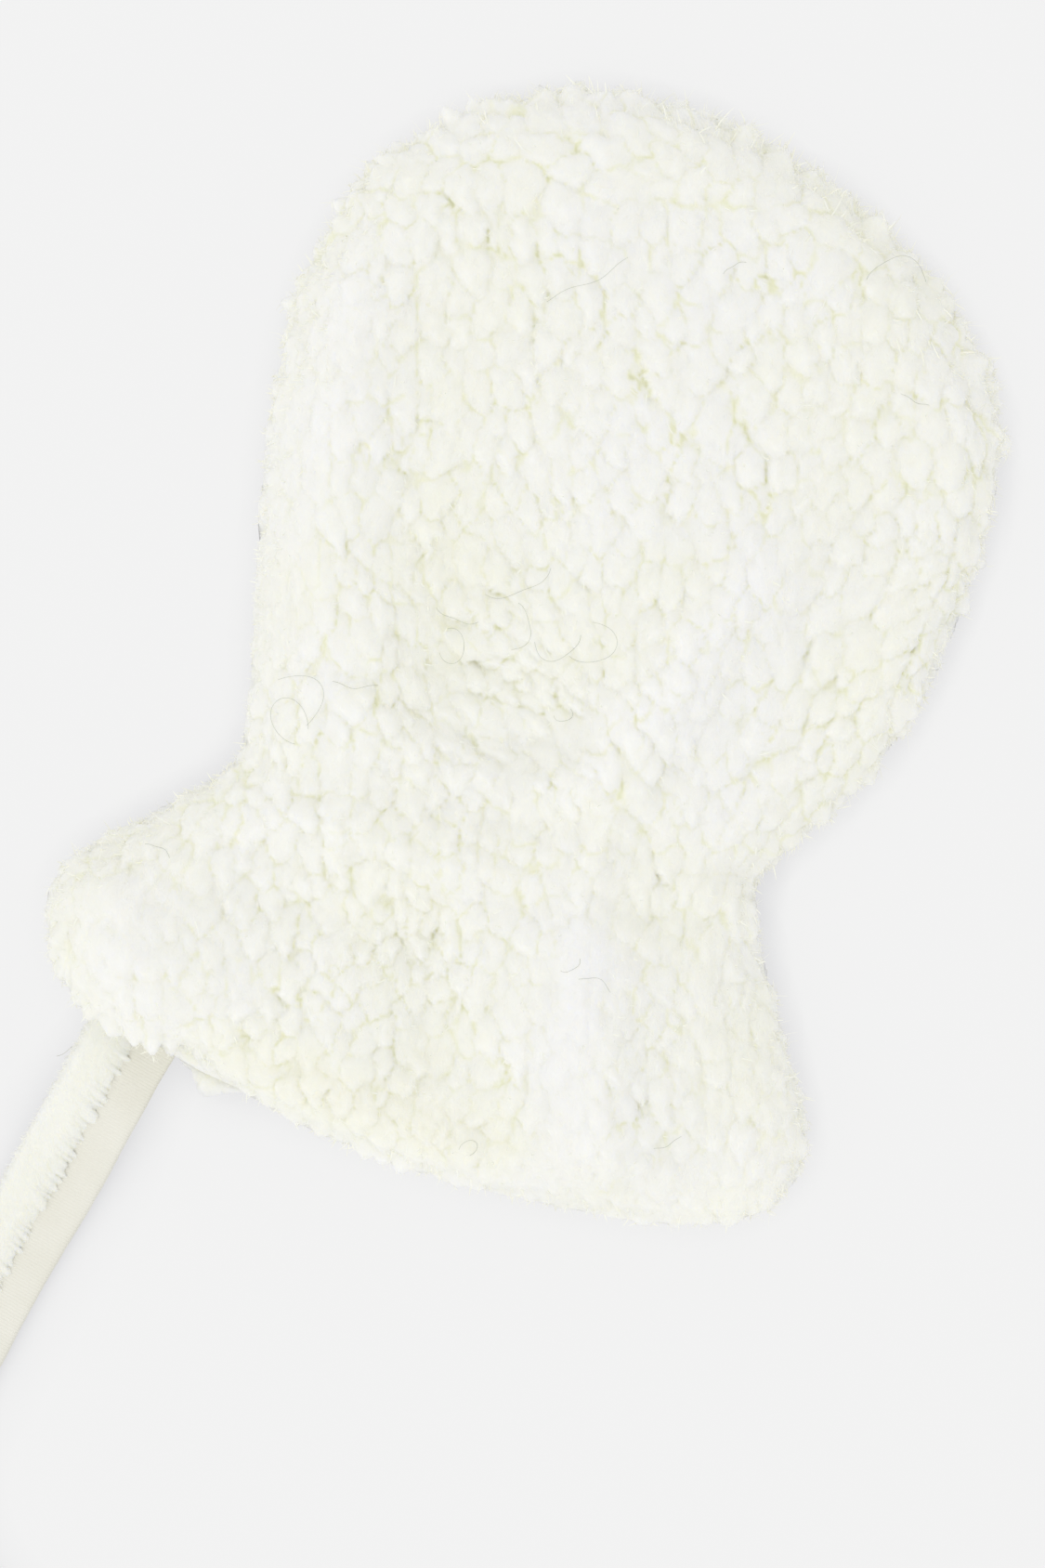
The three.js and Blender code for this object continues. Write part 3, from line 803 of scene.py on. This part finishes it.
def pile_relief(points_mm, normals, side, rng):
    """How far the pile stands above its mean, in mm, and how much painted shade each point gets where
    it lies deep in a crevice or on a border between clumps.
    """
    top, border = clumps(points_mm, normals, side, rng, 2.6, 1.5, 0.85)
    fine, fine_border = clumps(points_mm, normals, side, rng, 1.3, 1.7, 0.6)
    calm = calm_at(points_mm, side)
    strength = 1 - 0.5 * calm
    patchy = np.clip(0.75 + 1.0 * noise_at(points_mm, 4.0, 41.0)[:, 0], 0.1, 1.2)
    height = PILE_RELIEF_MM * (top - PILE_MEAN) * strength + PILE_FINE_MM * (fine - PILE_MEAN)
    height -= PILE_GROOVE_MM * border * strength * patchy
    low, high = np.quantile(top, (0.01, 0.45))
    depth = 1 - smooth_step(low, high, top)
    # Painted shade in the crevices: deepest in the low parts and along the borders of the clumps, less
    # where the pile is calm.
    crevice_shade = (0.35 * depth + 0.75 * border * patchy) * (1 - 0.6 * calm) + 0.06 * fine_border
    return height, crevice_shade


TUFT_GAP_MM = 2.2
TUFT_BASE_MM = 2.0
TUFT_LEAST_MM = 0.25
TUFT_NEIGHBOURS = 5

# The tufts that stand out most on the first mitten: where in the photo, their height above the
# floor, then how far each reaches and how wide its foot is, all three in mm.
TALL_TUFTS = [
    (553, 112, 6.5, 2.2, 1.3),
    (583, 110, 6.5, 2.4, 1.5),
    (668, 122, 6.5, 2.0, 2.6),
    (775, 150, 6.5, 2.3, 2.4),
    (905, 220, 6.5, 1.8, 1.5),
    (938, 245, 6.5, 1.8, 1.6),
    (388, 205, 6.5, 1.9, 2.6),
    (335, 335, 6.5, 3.0, 1.9),
    (312, 405, 6.5, 1.6, 1.8),
    (296, 490, 6.5, 1.4, 1.8),
    (1062, 478, 6.5, 2.2, 2.4),
    (1046, 590, 6.5, 2.2, 2.6),
    (1022, 648, 6.5, 2.0, 2.4),
    (985, 735, 6.5, 1.8, 2.4),
    (935, 830, 6.5, 1.8, 2.2),
    (850, 1180, 6.5, 2.0, 2.2),
    (75, 930, 6.5, 1.6, 2.4),
    (62, 985, 6.5, 1.4, 2.2),
    (152, 1098, 13.0, 2.6, 1.6),
    (170, 1106, 13.0, 3.3, 1.8),
    (190, 1115, 13.0, 2.8, 1.7),
]


TALL_TUFT_OFF_MM = 4.0
TUFT_DROOP = 0.8


def tuft_length(points_mm, side):
    """How long the rim's tufts are: longest round the tip, shortest at the left of the wrist."""
    u, v = own_frame(points_mm, side)
    tip = smooth_step(45, 78, v)
    left_low = (1 - smooth_step(-20, 0, u)) * smooth_step(-4, 8, v) * (1 - smooth_step(34, 48, v))
    return np.clip(0.5 + 0.5 * tip - 0.3 * left_low, 0.1, 1)


def add_named_tufts(points_mm, rim, seeds, tall, base):
    """The seeds with the first mitten's own tall tufts put in place of the ones they cover."""
    for pixel_x, pixel_y, high, reach, foot in TALL_TUFTS:
        place = np.append(photo_place(pixel_x, pixel_y), high)
        far = np.linalg.norm(points_mm[rim] - place, axis=1)
        if far.min() > TALL_TUFT_OFF_MM:
            continue
        chosen = rim[far.argmin()]
        clear = np.linalg.norm(points_mm[seeds] - points_mm[chosen], axis=1) > 0.7 * foot
        seeds = np.append(seeds[clear], chosen)
        tall = np.append(tall[clear], reach)
        base = np.append(base[clear], foot)
    return seeds, tall, base


def rim_tufts(points_mm, normals, side, rng, longest_mm, named):
    """How far each point moves to form pointed tufts that stand out all round the rim."""
    steep = smooth_step(0.25, 0.6, 1 - np.abs(normals[:, 2])) * smooth_step(0.6, 2.0, points_mm[:, 2])
    moves = np.zeros_like(points_mm)
    rim = np.flatnonzero(steep > 0.02)
    seeds = rim[steep[rim] > 0.6]
    seeds = seeds[scattered(points_mm[seeds], np.full(len(seeds), TUFT_GAP_MM), rng, 30000)]
    tall = rng.uniform(0.0, 1.0, len(seeds)) ** 1.7
    tall = TUFT_LEAST_MM + longest_mm * tall * tuft_length(points_mm[seeds], side)
    base = TUFT_BASE_MM * rng.uniform(0.7, 1.4, len(seeds)) + 0.12 * tall
    if named:
        seeds, tall, base = add_named_tufts(points_mm, rim, seeds, tall, base)
    count = len(seeds)
    outward = unit(normals[seeds] * np.array([1.0, 1.0, 0.0]))
    _, v = own_frame(points_mm[seeds], side)
    down = (TUFT_DROOP * (1 - smooth_step(45, 70, v)))[:, None] * np.array([0.0, -1.0, 0.0])
    ways = unit(outward + down + rng.normal(0, 0.22, (count, 3)) * np.array([1, 1, 0.4]))
    tree = kdtree.KDTree(count)
    for number, place in enumerate(points_mm[seeds]):
        tree.insert(Vector(place), number)
    tree.balance()
    hits = [tree.find_n(Vector(p), TUFT_NEIGHBOURS) for p in points_mm[rim]]
    near = np.array([[hit[1] for hit in found] for found in hits])
    far = np.array([[hit[2] for hit in found] for found in hits])
    reached = np.clip(far / base[near], 0, 1)
    cone = 0.3 * (1 - reached) + 0.7 * (1 - reached**2) ** 1.5
    rise = cone * tall[near]
    weight = (rise + 1e-3) ** 3
    blended = (ways[near] * (rise * weight)[:, :, None]).sum(1) / weight.sum(1)[:, None]
    moves[rim] = blended * steep[rim][:, None]
    return moves


def remeshed_copy(node, name, voxel_mm, smoothing):
    """A copy of a CAD solid with even small faces and its corners softened."""
    obj = bpy.data.objects.new(name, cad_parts[node].data.copy())
    bpy.context.scene.collection.objects.link(obj)
    make_active(obj)
    bpy.ops.object.mode_set(mode="EDIT")
    bpy.ops.mesh.select_all(action="SELECT")
    bpy.ops.mesh.remove_doubles(threshold=1e-6)
    bpy.ops.object.mode_set(mode="OBJECT")
    apply_modifier(obj, "REMESH", mode="VOXEL", voxel_size=voxel_mm * MM)
    apply_modifier(obj, "SMOOTH", factor=0.5, iterations=smoothing)
    obj.data.polygons.foreach_set("use_smooth", np.ones(len(obj.data.polygons), bool))
    obj.data.update()
    return obj


def thin_out(obj, chosen, ratio):
    """Fewer faces where nothing is seen. Chosen marks the faces."""
    make_active(obj)
    bpy.ops.object.mode_set(mode="EDIT")
    bpy.ops.mesh.select_all(action="DESELECT")
    bpy.ops.object.mode_set(mode="OBJECT")
    obj.data.vertices.foreach_set("select", np.zeros(len(obj.data.vertices), bool))
    obj.data.edges.foreach_set("select", np.zeros(len(obj.data.edges), bool))
    obj.data.polygons.foreach_set("select", chosen)
    bpy.ops.object.mode_set(mode="EDIT")
    bpy.ops.mesh.select_mode(type="FACE")
    bpy.ops.mesh.decimate(ratio=ratio)
    bpy.ops.object.mode_set(mode="OBJECT")


def face_normals(obj):
    normals = np.zeros(len(obj.data.polygons) * 3, np.float32)
    obj.data.polygons.foreach_get("normal", normals)
    return normals.reshape(-1, 3)


# The back layer's rim swells out from under the front beside the strap.
LUMP_PLACE_MM = np.array([32.3, -54.6])
LUMP_WIDTH_MM = 3.6
LUMP_REACH_MM = 1.7
NOTCH_PLACE_MM = np.array([28.6, -52.8])
NOTCH_WIDTH_MM = 3.2
NOTCH_DEPTH_MM = 2.6
GAP_PLACE_MM = np.array([29.4, -52.0])
GAP_HALF_MM = np.array([3.6, 1.7])


def lump(points_mm, normals):
    """How the swelling moves each point, and how much of it is there."""
    far = np.linalg.norm(points_mm[:, :2] - LUMP_PLACE_MM, axis=1)
    near = np.exp(-((far / LUMP_WIDTH_MM) ** 2))
    outward = unit(normals * np.array([1.0, 1.0, 0.0]))
    steep = smooth_step(0.2, 0.7, 1 - np.abs(normals[:, 2]))
    return outward * (LUMP_REACH_MM * near * steep)[:, None], near


def notch(points_mm):
    """The front's hem drawn up a little beside the strap, which shows the layer below."""
    far = np.linalg.norm(points_mm[:, :2] - NOTCH_PLACE_MM, axis=1)
    drawn = NOTCH_DEPTH_MM * np.exp(-((far / NOTCH_WIDTH_MM) ** 2))
    return drawn[:, None] * np.array([0.0, 1.0, 0.0])


def gap_shade(points_mm):
    """The dark place between the strap and the swelling, where the layers part."""
    far = (points_mm[:, :2] - GAP_PLACE_MM) / GAP_HALF_MM
    return np.exp(-(far**2).sum(1))


SEAM_LIP_MM = 0.6
SEAM_SWELL_MM = 0.4
BACK_DRAWN_MM = 1.1


def seam_lip(points_mm, normals, facing, outward):
    """Both rims swell over the seam, where their pile meets, and the front's also swells aside."""
    near = smooth_step(-0.97, -0.8, facing) * (1 - smooth_step(-0.4, 0.0, facing))
    near *= 1 + 0.8 * noise_at(points_mm, 1.6, 17.0)[:, 0]
    aside = unit(normals * np.array([1.0, 1.0, 0.0])) * max(outward, 0)
    return near[:, None] * (SEAM_SWELL_MM * aside - outward * SEAM_LIP_MM * UP)


def add_panel(node, name, side, seed, voxel_mm, outward, share_below, tuft_mm):
    """A cloth wall with pile on its outer face. Outward is 1 on a front and -1 on a back."""
    rng = np.random.default_rng(seed)
    obj = remeshed_copy(node, name, voxel_mm, 6)
    inner = face_normals(obj)[:, 2] * outward < -0.5
    thin_out(obj, inner, 0.12)
    points = points_of(obj)
    normals = normals_of(obj)
    height, crevice_shade = pile_relief(points, normals, side, rng)
    facing = normals[:, 2] * outward
    pile = smooth_step(-0.55, -0.05, facing)
    if outward < 0:
        pressed = smooth_step(0.8, 0.97, facing)
        pile = pile * (1 - pressed) + share_below * pressed
        height = np.where(pressed > 0.5, np.minimum(height, 0), height)
        swelling, near = lump(points, normals)
        aside = unit(normals * np.array([1.0, 1.0, 0.0])) * (1 - np.abs(facing) ** 4)[:, None]
        points = points + swelling - BACK_DRAWN_MM * aside * (1 - near)[:, None]
        pile = np.maximum(pile, 0.9 * near * smooth_step(0.3, 0.8, near))
    else:
        points = points + notch(points)
    billow = noise_at(points, 14.0, 21.0)[:, 0] * 0.5 * smooth_step(0.0, 0.5, normals[:, 2])
    folded, shade = fold_shape(points, side)
    upper = smooth_step(0.2, 0.7, normals[:, 2])
    moved = points + normals * ((height + billow) * pile + folded * upper)[:, None]
    moved += seam_lip(points, normals, facing, outward)
    named = side > 0 and outward > 0
    moved += rim_tufts(points, normals, side, rng, tuft_mm, named) * pile[:, None]
    moved[:, 2] = np.maximum(moved[:, 2], 0.0)
    move_points(obj, moved)
    # Painted crevice shade, only where the pile shows.
    keep_values(obj, "crevice_shade", crevice_shade * np.clip(pile * 1.5, 0, 1))
    # Painted shade on the steep rims that face away from the key light.
    away = smooth_step(0.15, 0.75, 1 - np.abs(normals[:, 2])) * smooth_step(
        -0.4, 0.6, normals[:, 0] + 0.3 * normals[:, 1]
    )
    if outward < 0:
        shade = shade + 3.0 * gap_shade(points)
    keep_values(obj, "shade", np.clip(shade * upper + 0.2 * away, SHADE_LEAST, SHADE_MOST))
    finish_piece(obj, TEDDY)
    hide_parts(node)
    return obj


def add_mitten(name, side, seed, front_voxel_mm, back_voxel_mm):
    back = add_panel(f"{name}_back", f"{name}_back_panel", side, seed + 1, back_voxel_mm, -1, 0.3, 1.5)
    front = add_panel(f"{name}_front", f"{name}_front_panel", side, seed, front_voxel_mm, 1, 0, 2.4)
    for part, under in (("front_hem", back), ("back_hem", back)):
        hem = remeshed_copy(f"{name}_{part}", f"{name}_{part}_turned", 0.9, 2)
        points = points_of(hem)
        # The turned hem gets painted crevice shade in random amounts.
        keep_values(hem, "crevice_shade", 0.3 + 0.4 * noise_at(points, 2.0, 3.0)[:, 0])
        finish_piece(hem, TEDDY)
        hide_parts(f"{name}_{part}")
    return front, back


FIRST_FRONT, FIRST_BACK = add_mitten("first", 1, 101, 0.45, 0.75)
SECOND_FRONT, SECOND_BACK = add_mitten("second", -1, 301, 0.7, 0.9)


# Fuzz and loose hairs

def fuzz(panel, name, side, seed, count, rim_share):
    """Short single fibres that stand out of the pile, most of them round the rim."""
    rng = np.random.default_rng(seed)
    points, normals = points_of(panel), normals_of(panel)
    open_side = points[:, 2] > 1.0
    rim = np.flatnonzero(open_side & (np.abs(normals[:, 2]) < 0.7))
    face = np.flatnonzero(open_side & (normals[:, 2] >= 0.7))
    on_rim = rng.choice(rim, int(count * rim_share))
    on_face = rng.choice(face, count - len(on_rim)) if len(face) else on_rim[:0]
    chosen = np.concatenate([on_rim, on_face])
    total = len(chosen)
    nap = nap_at(points[chosen], normals[chosen], side, rng)
    heading = unit(0.7 * normals[chosen] + 0.7 * nap + rng.normal(0, 0.45, (total, 3)))
    bend = rng.normal(0, 0.45, (total, 3)) - 0.2 * normals[chosen]
    length = rng.uniform(0.6, 1.7, total) * (0.4 + 0.65 * tuft_length(points[chosen], side))
    reached = np.array(FIBRE_STEPS)[None, :, None]
    lines = points[chosen][:, None] + (
        heading[:, None] * reached + bend[:, None] * reached**2
    ) * length[:, None, None]
    lines -= 0.1 * normals[chosen][:, None]
    lines[:, :, 2] = np.maximum(lines[:, :, 2], 0.05)
    asides = unit(np.cross(heading, rng.normal(0, 1, (total, 3))))
    widths = FIBRE_WIDTH_MM * np.where(rng.uniform(0, 1, total) < WISP_SHARE, WISP_WIDER, 1.0)
    return ribbons(name, lines, asides, 0.5 * widths[:, None] * FIBRE_TAPER)


def threads(name, lines_mm, width_mm):
    """Round three-sided threads in one mesh, each along its own line."""
    turns = np.radians([90, 210, 330])
    points, faces = [], []
    for line in lines_mm:
        tangent = unit(np.gradient(line, axis=0))
        across = unit(np.cross(tangent, UP))
        lift = np.cross(across, tangent)
        first = len(points) * 3
        for place, aside, up in zip(line, across, lift):
            ring = [place + width_mm / 2 * (aside * math.cos(a) + up * math.sin(a)) for a in turns]
            points.append(ring)
        for step in range(len(line) - 1):
            for k in range(3):
                low = first + step * 3
                faces.append((low + k, low + (k + 1) % 3, low + 3 + (k + 1) % 3, low + 3 + k))
    return mesh_object(name, np.array(points).reshape(-1, 3), faces)


# Loose hairs on the first mitten: where in the photo, which way in degrees, length in mm, and
# how far round each curls in degrees.
LOOSE_HAIRS = [
    (927, 312, 80, 11.0, -150),
    (962, 430, -35, 4.0, 20),
    (585, 335, 20, 12.0, 12),
    (470, 655, -50, 6.0, 60),
    (480, 680, 20, 9.0, -260),
    (520, 640, -20, 10.0, 80),
    (556, 650, -25, 8.0, -140),
    (575, 690, -80, 9.0, 170),
    (610, 705, -60, 12.0, 230),
    (300, 735, 40, 12.0, -190),
    (335, 790, 70, 14.0, 290),
    (360, 735, -25, 6.0, 40),
    (596, 770, -80, 4.0, 200),
    (602, 1040, -30, 3.5, 120),
    (620, 1050, 25, 5.0, -90),
    (95, 1098, -105, 7.0, -60),
    (505, 1238, 10, 5.0, 260),
    (160, 908, 10, 4.0, -70),
    (700, 1230, 5, 4.0, 40),
    (775, 305, 60, 3.5, -60),
]
HAIR_STEPS = 28
HAIR_WIDTH_MM = 0.06
HAIR_LIFT_MM = 0.35


def height_under(obj, x_mm, y_mm):
    hit, place, _, _ = obj.ray_cast(Vector((x_mm * MM, y_mm * MM, 0.1)), Vector((0, 0, -1)))
    return place.z / MM if hit else STRAP_LAYER_MM


def add_loose_hairs(panel):
    rng = np.random.default_rng(77)
    reached = np.linspace(0, 1, HAIR_STEPS)
    lines = []
    for pixel_x, pixel_y, degrees, length, curl in LOOSE_HAIRS:
        turn = np.radians(degrees + curl * reached + 14 * np.sin(9 * reached + pixel_x))
        step = length / (HAIR_STEPS - 1)
        flat = np.cumsum(np.stack([np.cos(turn), np.sin(turn)], 1) * step, axis=0)
        flat += photo_place(pixel_x, pixel_y)
        high = np.array([height_under(panel, x, y) for x, y in flat])
        padded = np.pad(high, 3, mode="edge")
        high = np.array([padded[i : i + 7].max() for i in range(HAIR_STEPS)])
        high = np.convolve(np.pad(high, 3, mode="edge"), np.ones(7) / 7, mode="valid")
        lift = HAIR_LIFT_MM * (0.6 + 0.4 * np.sin(5 * reached + rng.uniform(0, 6)))
        lines.append(np.column_stack([flat, high + lift]))
    hairs = threads("loose_hairs", lines, HAIR_WIDTH_MM)
    finish_piece(hairs, HAIR)


def dress_mitten(name, side, seed, front, back, quality):
    """Fuzz on the front of one mitten. Quality below 1 gives fewer."""
    fibres = fuzz(front, f"{name}_front_fuzz", side, seed + 3, int(16000 * quality), 0.6)
    finish_piece(fibres, FUZZ)


add_strap_fibres()
dress_mitten("first", 1, 501, FIRST_FRONT, FIRST_BACK, 1.0)
dress_mitten("second", -1, 601, SECOND_FRONT, SECOND_BACK, 0.75)
add_loose_hairs(FIRST_FRONT)


# Floor and light

FLOOR_GREY = (0.06, 0.06, 0.06, 1.0)
FLOOR_GLOW = (1.0, 1.0, 1.0)
FLOOR_SHADOW = (0.785, 0.785, 0.803)
FLOOR_GLOW_STRENGTH = 0.827
SHADOW_REACH = 0.007
SHADOW_LEAN = (-0.32, -0.24, 0.92)


def add_floor():
    deselect_all()
    bpy.ops.mesh.primitive_plane_add(size=6.0, location=(0, 0, -0.0001))
    floor = bpy.context.object
    floor.name = "floor"
    material, nodes, links, shader = new_material("Studio floor")
    shader.inputs["Base Color"].default_value = FLOOR_GREY
    shader.inputs["Roughness"].default_value = 0.9
    shader.inputs["Specular IOR Level"].default_value = 0.1
    lean = nodes.new("ShaderNodeCombineXYZ")
    for axis, value in zip("XYZ", SHADOW_LEAN):
        lean.inputs[axis].default_value = value
    near = nodes.new("ShaderNodeAmbientOcclusion")
    near.samples = 8
    near.inputs["Distance"].default_value = SHADOW_REACH
    links.new(lean.outputs["Vector"], near.inputs["Normal"])
    clear = nodes.new("ShaderNodeMapRange")
    clear.inputs["From Min"].default_value = 0.35
    clear.inputs["From Max"].default_value = 0.95
    links.new(near.outputs["AO"], clear.inputs["Value"])
    glow = mix_colours(nodes, links, clear.outputs["Result"], FLOOR_SHADOW, FLOOR_GLOW)
    links.new(glow, shader.inputs["Emission Color"])
    shader.inputs["Emission Strength"].default_value = FLOOR_GLOW_STRENGTH
    floor.data.materials.append(material)


HORIZON_STRENGTH = 0.78
OVERHEAD_STRENGTH = 0.975


def add_light(name, place, aim, size, watts):
    bpy.ops.object.light_add(type="AREA", location=place)
    light = bpy.context.object
    light.name = name
    light.data.size = size
    light.data.energy = watts
    light.rotation_euler = (Vector(aim) - Vector(place)).to_track_quat("-Z", "Y").to_euler()


def add_lights():
    middle = (0.07, -0.02, 0.0)
    add_light("key", (-0.5, -0.42, 0.92), middle, 0.8, 2.05)
    world = bpy.data.worlds.new("Studio") if not bpy.data.worlds else bpy.data.worlds[0]
    bpy.context.scene.world = world
    world.use_nodes = True
    background = world.node_tree.nodes["Background"]
    background.inputs["Color"].default_value = (1.0, 1.0, 1.0, 1.0)
    tree = world.node_tree
    way = tree.nodes.new("ShaderNodeTexCoord")
    parts = tree.nodes.new("ShaderNodeSeparateXYZ")
    rise = tree.nodes.new("ShaderNodeMapRange")
    rise.inputs["To Min"].default_value = HORIZON_STRENGTH
    rise.inputs["To Max"].default_value = OVERHEAD_STRENGTH
    tree.links.new(way.outputs["Generated"], parts.inputs["Vector"])
    tree.links.new(parts.outputs["Z"], rise.inputs["Value"])
    tree.links.new(rise.outputs["Result"], background.inputs["Strength"])
    bpy.context.scene.view_settings.view_transform = "Standard"


add_floor()
add_lights()
